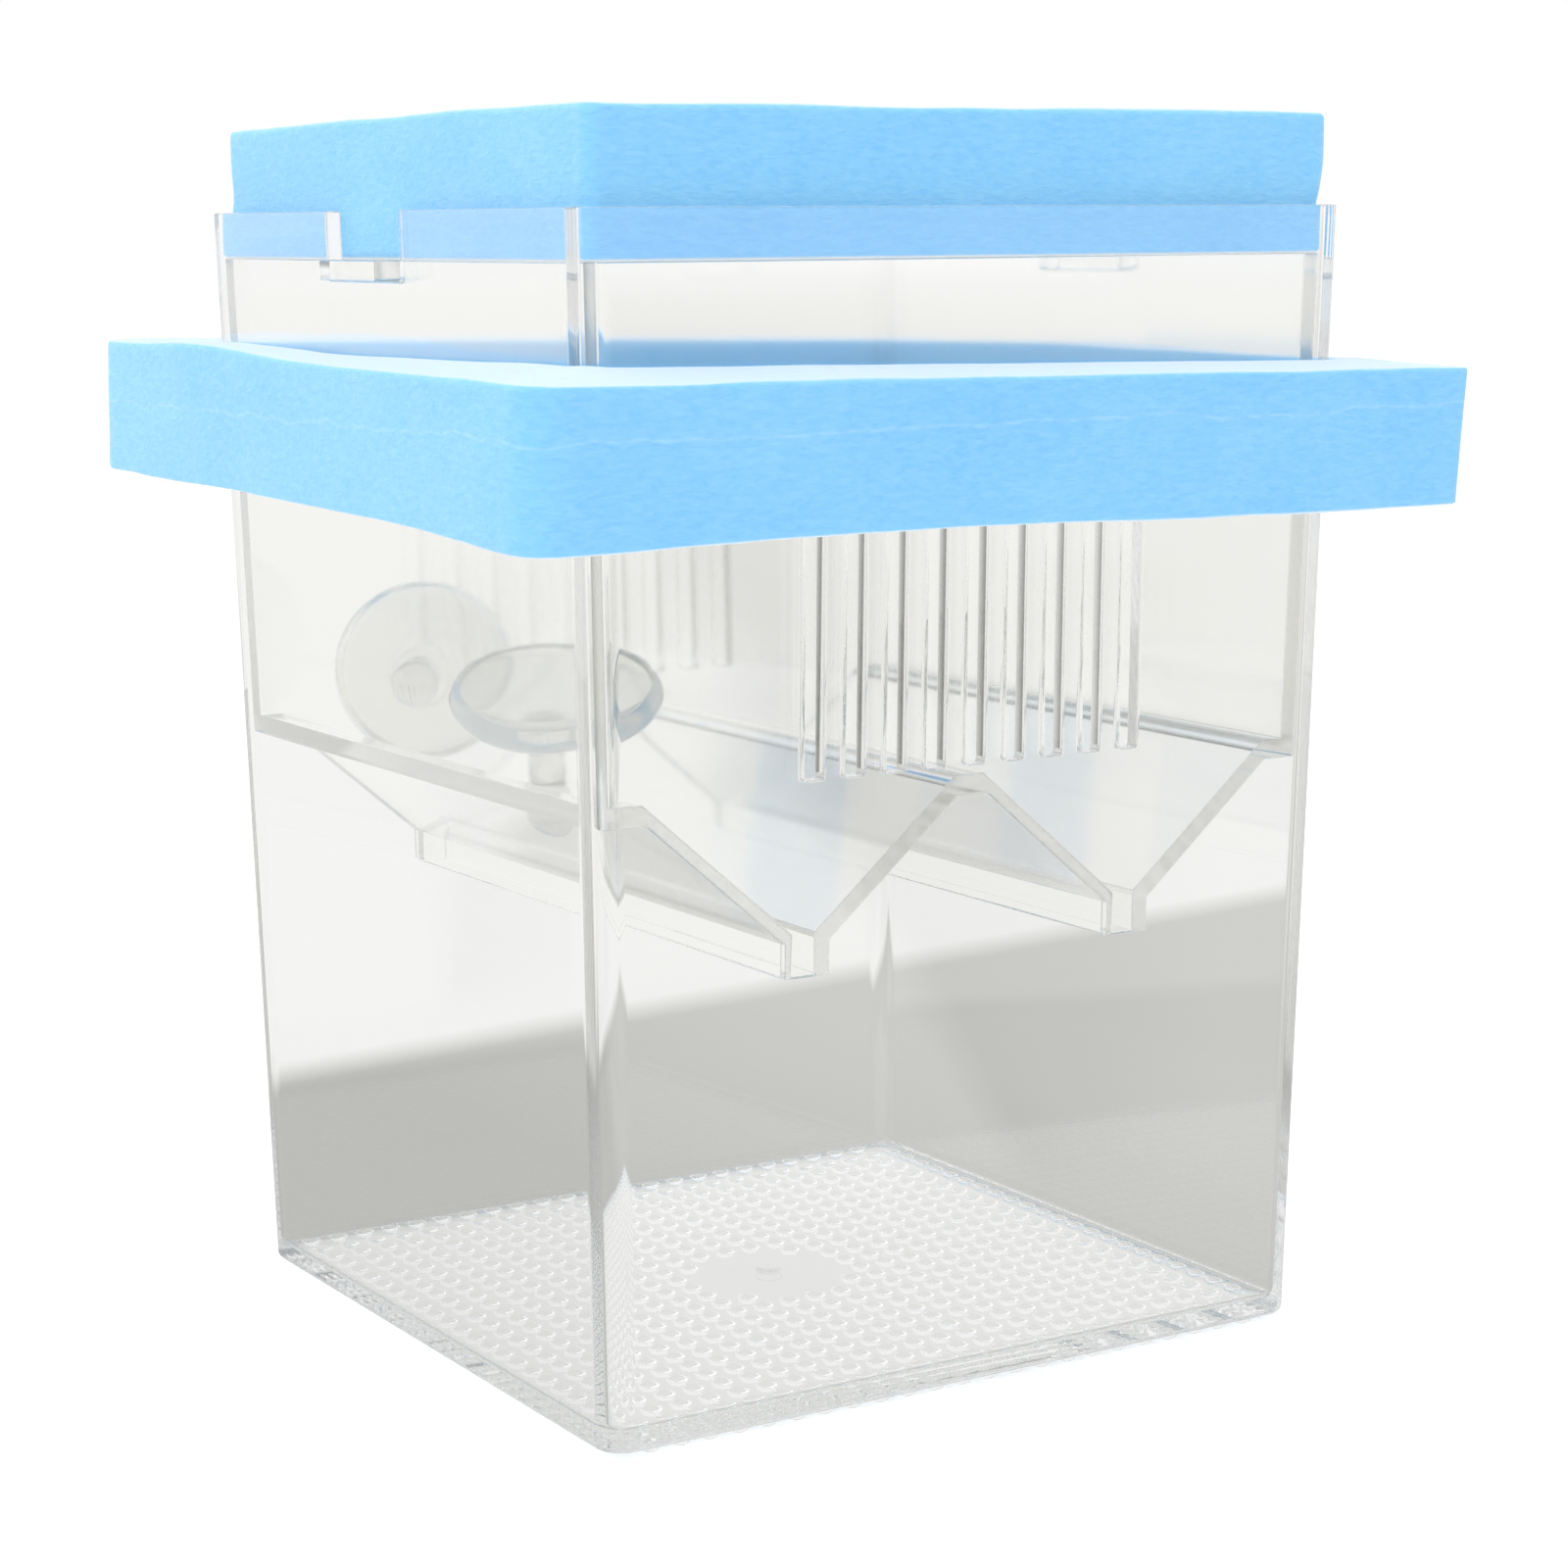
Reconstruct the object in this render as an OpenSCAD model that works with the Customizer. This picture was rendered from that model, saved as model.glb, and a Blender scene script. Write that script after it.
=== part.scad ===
// Fish breeding box: a clear outer box that floats in a foam ring, a clear spawning
// box with a W-shaped floor hung in its rim, a foam lid and two loose suction cups.
// Z is up, the front wall faces -Y, and the origin is the centre of the base.

/* [Outer box] */
// Outside width at the base
box_w = 95; // [80:0.1:115]
// Outside depth at the base
box_d = 90.9; // [78:0.1:115]
// Height from the base to the rim
box_h = 134; // [130:0.5:150]
// Draft of every wall, in degrees
draft = 1.3; // [0.8:0.1:1.8]
// Thickness of the outer walls
wall = 2; // [1.6:0.1:2.6]
// Outside radius of the upright corners
corner_r = 3.5; // [3:0.1:6]
// Thickness of the floor
floor_t = 1.9; // [1.5:0.1:3]
// Height of the bump field under the floor
pad_h = 0.9; // [0.5:0.1:1.5]
// Inset of the bump field from the outside of the base
pad_inset = 2.4; // [1.5:0.1:5]

/* [Water slots] */
// Number of slots in the front wall and in the back wall
slot_count = 9; // [5:2:11]
// Width of one slot
slot_w = 2.4; // [1.5:0.1:3]
// Distance from slot to slot
slot_pitch = 5.3; // [4.5:0.1:6]
// Height of the lower end of the slots
slot_low = 72.9; // [71:0.1:80]
// Height of the upper end of the slots
slot_high = 110; // [100:0.5:116]
// Distance of the rows of slots to the right of the middle
slot_x = -0.8; // [-2:0.1:2]

/* [Inner box] */
// Thickness of the inner box's walls
inner_wall = 1.7; // [1.3:0.1:2.2]
// Clearance between the two boxes on every side
inner_gap = 0.35; // [0.25:0.05:0.6]
// Depth of the inner rim below the outer rim
rim_drop = 5.5; // [4:0.1:8]
// Width of the hanging ears
ear_w = 15; // [10:0.5:25]
// Distance of the left ear behind the middle
ear_left_y = 3.2; // [-6:0.1:6]
// Distance of the right ear behind the middle
ear_right_y = 0; // [-6:0.1:6]
// Thickness of the hanging ears
ear_t = 2.35; // [1.8:0.05:3]
// Length by which an ear stands out past the outer wall
ear_out = 2; // [1:0.1:4]
// Clearance at each side of an ear in its notch
notch_gap = 2; // [0.4:0.1:3]

/* [W floor] */
// Thickness of the sloping plates
plate_t = 1.4; // [1.2:0.1:2.2]
// Thickness of the shoulders and of the middle ridge
flat_t = 2.1; // [1.5:0.1:2.6]
// Height of the flat shoulders beside the walls
shoulder_z = 71.6; // [68:0.1:72]
// Distance from the middle to the shoulder's inner edge
shoulder_x = 42; // [38:0.1:43]
// Height of the middle ridge
peak_z = 71.3; // [66:0.1:72]
// Width of the flat top of the middle ridge
peak_w = 3.6; // [2.5:0.1:8]
// Distance from the middle to the centre of each channel
channel_x = 21.8; // [20:0.1:24]
// Clear width of each channel
channel_w = 3.2; // [2.5:0.1:4]
// Thickness of the channel's side plates
channel_t = 1.3; // [1:0.1:2]
// Height where the slopes meet the channels
mouth_z = 55.5; // [53:0.1:58]
// Height of the lower edge of the channels
channel_z = 50.8; // [46:0.1:52]

/* [Float ring] */
// Outside width of the foam ring
ring_w = 123.5; // [115:0.5:140]
// Outside depth of the foam ring
ring_d = 117; // [112:0.5:140]
// Thickness of the foam sheet, shared by the ring and the lid
foam_t = 16; // [12:0.1:20]
// Distance from the rim down to the ring's top at its middle
ring_drop = 17; // [12:0.5:30]
// Radius of the ring's outside corners
ring_r = 3.5; // [2:0.5:10]
// Clearance between the ring and the outer box
ring_gap = 0.25; // [0.15:0.05:0.6]
// Upward tilt of the ring towards the back, in degrees
ring_pitch = 0.9; // [0:0.1:1.5]
// Downward tilt of the ring towards the right, in degrees
ring_roll = 0.6; // [0:0.1:1]

/* [Foam lid] */
// Clearance of the lid inside the outer rim
lid_gap = 0.3; // [0.2:0.05:0.6]
// Radius of the lid's upright corners
lid_r = 2.5; // [2:0.5:6]

/* [Suction cups] */
// Outside radius of a cup
cup_r = 10.8; // [10:0.1:11.5]
// Height of the widest place above the lip
lip_t = 1.5; // [0.8:0.1:2]
// Radius of the lip, where the hollow starts
lip_r = 9.6; // [9:0.1:9.9]
// Depth of the hollow under the cup
dish_depth = 3.8; // [2.5:0.1:4.4]
// Radius of the flat back of the bowl
boss_r = 6.6; // [5:0.1:8.5]
// Height of the flat back above the lip
boss_z = 5.6; // [5.2:0.1:6.5]
// Radius of the neck
neck_r = 2.1; // [1.5:0.1:2.6]
// Height of the neck's lower end above the lip
neck_z = 8; // [7.5:0.1:10]
// Radius of the round knob on the neck
knob_r = 2.8; // [2.7:0.1:3.5]
// Distance from the lip to the knob's centre
knob_z = 15.6; // [14:0.1:17]
// Distance of cup a behind the middle
cup_a_y = 18; // [14:0.5:24]
// Distance of cup b in front of the middle
cup_b_y = 12; // [10:0.5:20]

/* [Hidden] */

// Clearances between pieces that rest on each other
seat_gap = 0.05;
soft_gap = 0.3;
// Length by which a cut runs past the face it opens
past = 1;

// Growth of each half width per millimetre of height
slant = tan(draft);
inner_rim_z = box_h - rim_drop;
sill_z = inner_rim_z - ear_t - seat_gap;
// Height of the ring's underside at its middle
ring_z = box_h - ring_drop - foam_t;
notch_w = ear_w + 2 * notch_gap;
// Offset of the inner box's outer and inner faces from the outer box's outside
inner_out = wall + inner_gap;
inner_in = inner_out + inner_wall;
// Radii of the inner box's upright corners, outside and inside
inner_out_r = max(0.6, corner_r - inner_out);
inner_in_r = max(0.5, inner_out_r - inner_wall);
mouth_in = channel_x - channel_w / 2;
mouth_out = channel_x + channel_w / 2;
slope_a = atan((shoulder_z - mouth_z) / (shoulder_x - mouth_out));
inside_slope_a = atan((peak_z - mouth_z) / (mouth_in - peak_w / 2));
// Drop of a plate's underside below its top, measured upright
outer_drop = plate_t / cos(slope_a);
middle_drop = plate_t / cos(inside_slope_a);
wide = 2 * (box_w + box_d);

// Directions of the two cups from lip to knob: lean from upright, then turn about Z
cup_a_lean = 88.8;
cup_a_turn = -120.5;
cup_b_lean = 160;
cup_b_turn = 58.5;

function half_w(z, inset) = box_w / 2 + z * slant - inset;
function half_d(z, inset) = box_d / 2 + z * slant - inset;
function heading(lean, turn) = [sin(lean) * cos(turn), sin(lean) * sin(turn), cos(lean)];
// Height of the left outer slope at distance x from the middle
function slope_z(x) = mouth_z + (x - mouth_out) * tan(slope_a);

module rounded_outline(w, d, r) {
    offset(r = r, $fn = 32)
        square([w - 2 * r, d - 2 * r], center = true);
}

module rounded_plate(hx, hy, r, z, t) {
    translate([0, 0, z])
        linear_extrude(height = t)
            for (sx = [-1, 1], sy = [-1, 1])
                translate([sx * (hx - r), sy * (hy - r)])
                    circle(r = r, $fn = 32);
}

// Solid between heights z0 and z1 whose sides run parallel to the outer walls
module drafted_block(z0, z1, inset, r) {
    skin = 0.001;
    hull() {
        rounded_plate(half_w(z0, inset), half_d(z0, inset), r, z0, skin);
        rounded_plate(half_w(z1, inset), half_d(z1, inset), r, z1 - skin, skin);
    }
}

// One row of upright slots through the front and back walls of the outer box
module water_slots() {
    first = -(slot_count - 1) / 2;
    for (i = [0 : slot_count - 1])
        translate([slot_x + (first + i) * slot_pitch - slot_w / 2, -wide / 2, slot_low])
            cube([slot_w, wide, slot_high - slot_low]);
}

// Upright profile in X and Z pulled through the whole depth
module through_depth(points) {
    translate([0, wide / 2, 0])
        rotate([90, 0, 0])
            linear_extrude(height = wide)
                polygon(points);
}

function mirrored(points) = [for (i = [len(points) - 1 : -1 : 0]) [-points[i][0], points[i][1]]];

// Underside of the W floor from the middle to the right
function floor_under() = [
    [peak_w / 2 + (flat_t - middle_drop) / tan(inside_slope_a), peak_z - flat_t],
    [mouth_in - channel_t, mouth_z + channel_t * tan(inside_slope_a) - middle_drop],
    [mouth_in - channel_t, channel_z],
    [mouth_out + channel_t, channel_z],
    [mouth_out + channel_t, mouth_z + channel_t * tan(slope_a) - outer_drop],
    [shoulder_x - (flat_t - outer_drop) / tan(slope_a), shoulder_z - flat_t],
    [wide, shoulder_z - flat_t]
];

// Top of the W floor from the middle to the right, with the channel cut through
function floor_top() = [
    [peak_w / 2, peak_z],
    [mouth_in, mouth_z],
    [mouth_in, channel_z - past],
    [mouth_out, channel_z - past],
    [mouth_out, mouth_z],
    [shoulder_x, shoulder_z],
    [wide, shoulder_z]
];

module above_line(right_half) {
    through_depth(concat(
        mirrored(right_half),
        right_half,
        [[wide, box_h + past], [-wide, box_h + past]]
    ));
}

// Bars from the middle out to each side at the places of the two ears
module ear_bars(reach, w, z, h) {
    translate([-reach, ear_left_y - w / 2, z])
        cube([reach, w, h]);
    translate([0, ear_right_y - w / 2, z])
        cube([reach, w, h]);
}

module outer_box() {
    color("whitesmoke", 0.5)
        union() {
            difference() {
                drafted_block(pad_h, box_h, 0, corner_r);
                drafted_block(pad_h + floor_t, box_h + past, wall, corner_r - wall);
                water_slots();
                ear_bars(wide, notch_w, sill_z, box_h);
            }
            linear_extrude(height = pad_h + floor_t / 2)
                square([box_w - 2 * pad_inset, box_d - 2 * pad_inset], center = true);
        }
}

module inner_box() {
    ear_end = half_w(inner_rim_z, 0) + ear_out;
    color("lightgray", 0.5)
        difference() {
            union() {
                intersection() {
                    drafted_block(channel_z, inner_rim_z, inner_out, inner_out_r);
                    above_line(floor_under());
                }
                ear_bars(ear_end, ear_w, sill_z + seat_gap, ear_t);
            }
            intersection() {
                drafted_block(channel_z - past, inner_rim_z + past, inner_in, inner_in_r);
                above_line(floor_top());
            }
        }
}

module float_ring() {
    tilt_reach = ring_w * sin(ring_pitch + ring_roll) + past;
    color("lightskyblue")
        difference() {
            translate([0, 0, ring_z + foam_t / 2])
                rotate([ring_pitch, ring_roll, 0])
                    linear_extrude(height = foam_t, center = true)
                        rounded_outline(ring_w, ring_d, ring_r);
            drafted_block(ring_z - tilt_reach, ring_z + foam_t + tilt_reach, -ring_gap, corner_r + ring_gap);
        }
}

module foam_lid() {
    color("lightskyblue")
        translate([0, 0, inner_rim_z + seat_gap])
            linear_extrude(height = foam_t - seat_gap)
                rounded_outline(
                    2 * (half_w(inner_rim_z, wall) - lid_gap),
                    2 * (half_d(inner_rim_z, wall) - lid_gap),
                    max(lid_r, corner_r - wall)
                );
}

// Cup standing on its lip with its axis on Z
module suction_cup() {
    steps = 6;
    back_a = acos(boss_r / cup_r);
    hollow = [for (i = [0 : steps]) let (a = 90 * i / steps) [lip_r * sin(a), dish_depth * cos(a)]];
    bowl = [for (i = [0 : steps]) let (a = back_a * i / steps)
        [cup_r * cos(a), lip_t + (boss_z - lip_t) * sin(a) / sin(back_a)]];
    color("gainsboro", 0.6)
        union() {
            rotate_extrude($fn = 48)
                polygon(concat(hollow, bowl, [
                    [neck_r + 1, (boss_z + neck_z) / 2],
                    [neck_r, neck_z],
                    [neck_r, knob_z],
                    [0, knob_z]
                ]));
            translate([0, 0, knob_z])
                sphere(r = knob_r, $fn = 32);
        }
}

// Cup a: its lip stands on the left slope and its knob leans on the left wall
module suction_cup_a() {
    way = heading(cup_a_lean, cup_a_turn);
    into_slope = way[0] * sin(slope_a) + way[2] * cos(slope_a);
    reach = cup_r * sqrt(1 - pow(into_slope, 2)) + lip_t * abs(into_slope) + soft_gap;
    knob_at = half_w(shoulder_z, inner_in) - knob_r - soft_gap;
    x = knob_at + knob_z * way[0];
    translate([-x, cup_a_y, slope_z(x) + reach / cos(slope_a)])
        rotate([0, cup_a_lean, cup_a_turn])
            suction_cup();
}

// Cup b: its lip leans on the left wall and its knob stands on the left slope
module suction_cup_b() {
    way = heading(cup_b_lean, cup_b_turn);
    reach = cup_r * sqrt(1 - pow(way[0], 2)) + lip_t * abs(way[0]) + soft_gap;
    x = half_w(shoulder_z, inner_in) - reach;
    knob_x = x - knob_z * way[0];
    knob_up = slope_z(knob_x) + (knob_r + soft_gap) / cos(slope_a);
    translate([-x, -cup_b_y, knob_up - knob_z * way[2]])
        rotate([0, cup_b_lean, cup_b_turn])
            suction_cup();
}

outer_box();
inner_box();
float_ring();
foam_lid();
suction_cup_a();
suction_cup_b();
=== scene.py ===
# %% [markdown]
# # A floating fish breeding box
#
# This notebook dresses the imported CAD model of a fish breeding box. The real object is two
# clear boxes moulded in polystyrene, one hung inside the other, held in a frame of blue
# foam that floats on the tank. A block of the same foam is the lid, and two loose suction
# cups lie inside. Clear plastic shows only what it bends and mirrors, so most of the work
# is true wall thicknesses, rounded edges and a plain bright room.

# %% Load the frame
import math

import bmesh
import bpy
from mathutils import Euler, Matrix, Vector, noise


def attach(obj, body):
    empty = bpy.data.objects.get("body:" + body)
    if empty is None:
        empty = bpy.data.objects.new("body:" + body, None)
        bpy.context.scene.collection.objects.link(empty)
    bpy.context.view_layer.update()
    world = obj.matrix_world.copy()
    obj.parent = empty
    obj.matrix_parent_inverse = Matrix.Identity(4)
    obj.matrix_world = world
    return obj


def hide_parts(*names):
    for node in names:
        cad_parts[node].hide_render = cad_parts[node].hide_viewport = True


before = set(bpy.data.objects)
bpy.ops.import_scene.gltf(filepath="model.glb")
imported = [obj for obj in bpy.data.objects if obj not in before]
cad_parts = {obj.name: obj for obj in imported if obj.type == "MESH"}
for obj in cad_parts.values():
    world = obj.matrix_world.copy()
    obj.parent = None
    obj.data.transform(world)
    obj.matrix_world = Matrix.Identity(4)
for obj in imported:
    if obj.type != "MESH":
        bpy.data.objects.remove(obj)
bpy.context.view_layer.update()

# %% [markdown]
# ## Sizes
#
# The new pieces stand in for the CAD nodes, so they repeat the sizes of the CAD source.
# Blender works in metres, and these are written in millimetres times MM.

# %% Sizes of the two boxes
MM = 0.001
BASE_W, BASE_D, BOX_H = 95 * MM, 90.9 * MM, 134 * MM
SLANT = math.tan(math.radians(1.3))
WALL, CORNER_R = 2.0 * MM, 3.5 * MM
BUMP_H, FLOOR_T = 0.9 * MM, 1.9 * MM
INNER_WALL, INNER_GAP = 1.7 * MM, 0.35 * MM
INNER_OUT = WALL + INNER_GAP
INNER_IN = INNER_OUT + INNER_WALL
INNER_OUT_R = CORNER_R - INNER_OUT
INNER_IN_R = 0.5 * MM
INNER_RIM = BOX_H - 5.5 * MM
EAR_W, EAR_T, EAR_OUT, EAR_GAP, SEAT = 15 * MM, 2.35 * MM, 2 * MM, 2 * MM, 0.05 * MM
EAR_PLACES = {-1: 3.2 * MM, 1: 0.0}
SILL = INNER_RIM - EAR_T - SEAT
SLOTS, SLOT_W, SLOT_PITCH = 9, 2.4 * MM, 5.3 * MM
SLOT_LOW, SLOT_HIGH, SLOT_X = 72.9 * MM, 110 * MM, -0.8 * MM
FAR = 0.2


def half_width(z, inset=0.0):
    return BASE_W / 2 + z * SLANT - inset


def half_depth(z, inset=0.0):
    return BASE_D / 2 + z * SLANT - inset


print("rim of the outer box:", round(2000 * half_width(BOX_H), 1), "mm wide")

# %% Sizes of the W floor, from the middle to the right
PLATE_T, FLAT_T = 1.4 * MM, 2.1 * MM
SHOULDER_Z, SHOULDER_X = 71.6 * MM, 42 * MM
PEAK_Z, PEAK_HALF = 71.3 * MM, 1.8 * MM
MOUTH_IN, MOUTH_OUT = 20.2 * MM, 23.4 * MM
CHANNEL_T, MOUTH_Z, CHANNEL_Z = 1.3 * MM, 55.5 * MM, 50.8 * MM
OUTER_SLOPE = (SHOULDER_Z - MOUTH_Z) / (SHOULDER_X - MOUTH_OUT)
INNER_SLOPE = (PEAK_Z - MOUTH_Z) / (MOUTH_IN - PEAK_HALF)
OUTER_DROP = PLATE_T * math.hypot(1, OUTER_SLOPE)
INNER_DROP = PLATE_T * math.hypot(1, INNER_SLOPE)

W_TOP = [
    (PEAK_HALF, PEAK_Z),
    (MOUTH_IN, MOUTH_Z),
    (MOUTH_IN, CHANNEL_Z - 3 * MM),
    (MOUTH_OUT, CHANNEL_Z - 3 * MM),
    (MOUTH_OUT, MOUTH_Z),
    (SHOULDER_X, SHOULDER_Z),
    (FAR, SHOULDER_Z),
]
W_UNDER = [
    (PEAK_HALF + (FLAT_T - INNER_DROP) / INNER_SLOPE, PEAK_Z - FLAT_T),
    (MOUTH_IN - CHANNEL_T, MOUTH_Z + CHANNEL_T * INNER_SLOPE - INNER_DROP),
    (MOUTH_IN - CHANNEL_T, CHANNEL_Z),
    (MOUTH_OUT + CHANNEL_T, CHANNEL_Z),
    (MOUTH_OUT + CHANNEL_T, MOUTH_Z + CHANNEL_T * OUTER_SLOPE - OUTER_DROP),
    (SHOULDER_X - (FLAT_T - OUTER_DROP) / OUTER_SLOPE, SHOULDER_Z - FLAT_T),
    (FAR, SHOULDER_Z - FLAT_T),
]
print("slope of the outer plates:", round(math.degrees(math.atan(OUTER_SLOPE)), 1), "degrees")

# %% [markdown]
# ## Working by hand, in code
#
# Every piece starts as a primitive and is then shaped in edit mode, as it would be by
# hand. An operator acts on all that is selected, so these helpers first deselect
# everything and then select faces or edges by where they lie or which way they point.


# %% Selecting and editing
def only(piece):
    bpy.ops.object.select_all(action="DESELECT")
    piece.select_set(True)
    bpy.context.view_layer.objects.active = piece


def open_edit(piece, kind="FACE"):
    only(piece)
    bpy.ops.object.mode_set(mode="EDIT")
    bpy.ops.mesh.select_mode(type=kind)
    bpy.ops.mesh.select_all(action="DESELECT")


def close_edit():
    bpy.ops.object.mode_set(mode="OBJECT")


def choose(piece, kind, test):
    """Selects the faces, edges or verts that pass the test, and nothing else."""
    bpy.ops.mesh.select_mode(type={"faces": "FACE", "edges": "EDGE", "verts": "VERT"}[kind])
    bpy.ops.mesh.select_all(action="DESELECT")
    mesh = bmesh.from_edit_mesh(piece.data)
    found = [part for part in getattr(mesh, kind) if test(part)]
    for part in found:
        part.select_set(True)
    mesh.select_flush_mode()
    bmesh.update_edit_mesh(piece.data)
    return len(found)


def faces_up(face):
    return face.normal.z > 0.9


def is_upright(edge):
    way = (edge.verts[1].co - edge.verts[0].co).normalized()
    return abs(way.z) > 0.9


def apply_modifier(piece, kind, **settings):
    only(piece)
    modifier = piece.modifiers.new(kind.lower(), kind)
    for key, value in settings.items():
        setattr(modifier, key, value)
    bpy.ops.object.modifier_apply(modifier=modifier.name)


def combine(piece, other, operation):
    """Cuts, joins or intersects piece with other, and other is used up."""
    apply_modifier(piece, "BOOLEAN", operation=operation, object=other, solver="EXACT")
    bpy.data.objects.remove(other)


def place(piece):
    """Puts the object's own place and turn into its mesh, as the CAD nodes have it."""
    only(piece)
    bpy.ops.object.transform_apply(location=True, rotation=True, scale=True)


def add_cube(name, size, centre):
    bpy.ops.mesh.primitive_cube_add(size=1, location=centre)
    cube = bpy.context.object
    cube.name = name
    cube.scale = size
    place(cube)
    return cube


def count(piece):
    triangles = sum(len(p.vertices) - 2 for p in piece.data.polygons)
    print(piece.name, "has", triangles, "triangles")


# %% [markdown]
# ## Blocks with draft
#
# A moulded box leans outwards a little so that it leaves its mould. Each wall here leans
# by 1.3 degrees. A cube gets its top face scaled up by that lean, and its upright edges
# bevelled to the corner radius. The same block, made smaller, is the hollow of the box,
# so the walls stay evenly thick: clear plastic shows every change of thickness.


# %% A drafted block
def drafted_block(name, low, high, inset, radius, foot=0.0):
    size = (2 * half_width(low, inset), 2 * half_depth(low, inset), high - low)
    block = add_cube(name, size, (0, 0, (low + high) / 2))
    grow = (
        half_width(high, inset) / half_width(low, inset),
        half_depth(high, inset) / half_depth(low, inset),
        1,
    )
    open_edit(block)
    choose(block, "faces", faces_up)
    bpy.ops.transform.resize(value=grow, center_override=(0, 0, high))
    choose(block, "edges", is_upright)
    bpy.ops.mesh.bevel(offset=radius, segments=14, profile=0.5, affect="EDGES")
    if foot:
        choose(block, "edges", lambda e: all(abs(v.co.z - low) < 1e-6 for v in e.verts))
        bpy.ops.mesh.bevel(offset=foot, segments=4, profile=0.5, affect="EDGES")
    close_edit()
    return block


# %% The row of water slots and the bars of the two ears
def slot_bars():
    """Nine upright bars with softened edges, which cut the slots in both walls."""
    middle = (SLOT_X - (SLOTS - 1) / 2 * SLOT_PITCH, 0, (SLOT_LOW + SLOT_HIGH) / 2)
    bars = add_cube("slot_bars", (SLOT_W, FAR, SLOT_HIGH - SLOT_LOW), middle)
    open_edit(bars)
    choose(bars, "edges", lambda e: abs((e.verts[1].co - e.verts[0].co).y) > FAR / 2)
    bpy.ops.mesh.bevel(offset=0.3 * MM, segments=3, affect="EDGES")
    close_edit()
    apply_modifier(
        bars,
        "ARRAY",
        count=SLOTS,
        use_relative_offset=False,
        use_constant_offset=True,
        constant_offset_displace=(SLOT_PITCH, 0, 0),
    )
    return bars


def ear_bar(side, reach, width, low, high, softness):
    """A bar from the middle of the box out to one side, at the place of that side's ear."""
    centre = (side * reach / 2, EAR_PLACES[side], (low + high) / 2)
    bar = add_cube("ear_bar", (reach, width, high - low), centre)
    open_edit(bar)
    choose(bar, "edges", lambda e: abs((e.verts[1].co - e.verts[0].co).x) > reach / 2)
    bpy.ops.mesh.bevel(offset=softness, segments=3, affect="EDGES")
    close_edit()
    return bar


# %% [markdown]
# ## The outer box
#
# The real box is one moulding: drafted walls, a floor, nine water slots in the front and
# in the back, and a notch in the rim at each side for the ears of the inner box. It is
# made here as it is moulded: a solid block, minus the hollow, minus the slots and notches.
# Its floor stands on a square field of small round bumps, left bare in the middle, where
# the plastic ran into the mould. One bump is a twelve-sided peg with a rounded end. It is
# modelled once, repeated with two Array modifiers, and joined to the floor with a Boolean,
# so that the clear surface stays closed and light runs from the floor into each bump.

# %% The shell
OUTER_FOOT, HOLLOW_FOOT = 0.8 * MM, 1.2 * MM
outer = drafted_block("outer_box_shell", BUMP_H, BOX_H, 0, CORNER_R, OUTER_FOOT)
hollow = drafted_block(
    "outer_hollow", BUMP_H + FLOOR_T, BOX_H + MM, WALL, CORNER_R - WALL, HOLLOW_FOOT
)
combine(outer, hollow, "DIFFERENCE")
combine(outer, slot_bars(), "DIFFERENCE")
for side in EAR_PLACES:
    notch = ear_bar(side, FAR, EAR_W + 2 * EAR_GAP, SILL, BOX_H + 5 * MM, 0.6 * MM)
    combine(outer, notch, "DIFFERENCE")
count(outer)


# %% Rounding and smoothing the mouldings
def soften(piece, width):
    """Rounds the sharp edges a little, as a mould leaves them, and keeps flat walls flat."""
    apply_modifier(
        piece,
        "BEVEL",
        width=width,
        segments=2,
        limit_method="ANGLE",
        angle_limit=math.radians(50),
        use_clamp_overlap=True,
    )


def smooth(piece, angle=42):
    only(piece)
    bpy.ops.object.shade_smooth_by_angle(angle=math.radians(angle))
    apply_modifier(piece, "WEIGHTED_NORMAL", keep_sharp=True, weight=80)


soften(outer, 0.25 * MM)
count(outer)

# %% The bumps under the floor
BUMP_R, GATE_R = 1.35 * MM, 9.6 * MM
BUMP_COUNT, BUMP_PITCH_X, BUMP_PITCH_Y = 25, 3.75 * MM, 3.6 * MM
BUMP_TOP = BUMP_H + 0.4 * MM

bpy.ops.mesh.primitive_cylinder_add(vertices=12, radius=BUMP_R, depth=BUMP_TOP)
bumps = bpy.context.object
bumps.name = "floor_bumps"
bumps.location = (
    -(BUMP_COUNT - 1) / 2 * BUMP_PITCH_X,
    -(BUMP_COUNT - 1) / 2 * BUMP_PITCH_Y,
    BUMP_TOP / 2,
)
place(bumps)
open_edit(bumps)
choose(bumps, "edges", lambda e: all(v.co.z < 1e-6 for v in e.verts))
bpy.ops.mesh.bevel(offset=1.05 * MM, segments=4, profile=0.5, affect="EDGES")
close_edit()
for step in ((BUMP_PITCH_X, 0, 0), (0, BUMP_PITCH_Y, 0)):
    apply_modifier(
        bumps,
        "ARRAY",
        count=BUMP_COUNT,
        use_relative_offset=False,
        use_constant_offset=True,
        constant_offset_displace=step,
    )


def off_the_field(vert):
    """True for a bump in the bare middle or on a corner of the field."""
    col = round(vert.co.x / BUMP_PITCH_X)
    row = round(vert.co.y / BUMP_PITCH_Y)
    last = (BUMP_COUNT - 1) // 2
    in_gate = math.hypot(col * BUMP_PITCH_X, row * BUMP_PITCH_Y) < GATE_R
    return in_gate or (abs(col) == last and abs(row) == last)


open_edit(bumps)
choose(bumps, "verts", off_the_field)
bpy.ops.mesh.delete(type="VERT")
close_edit()
combine(outer, bumps, "UNION")

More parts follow.
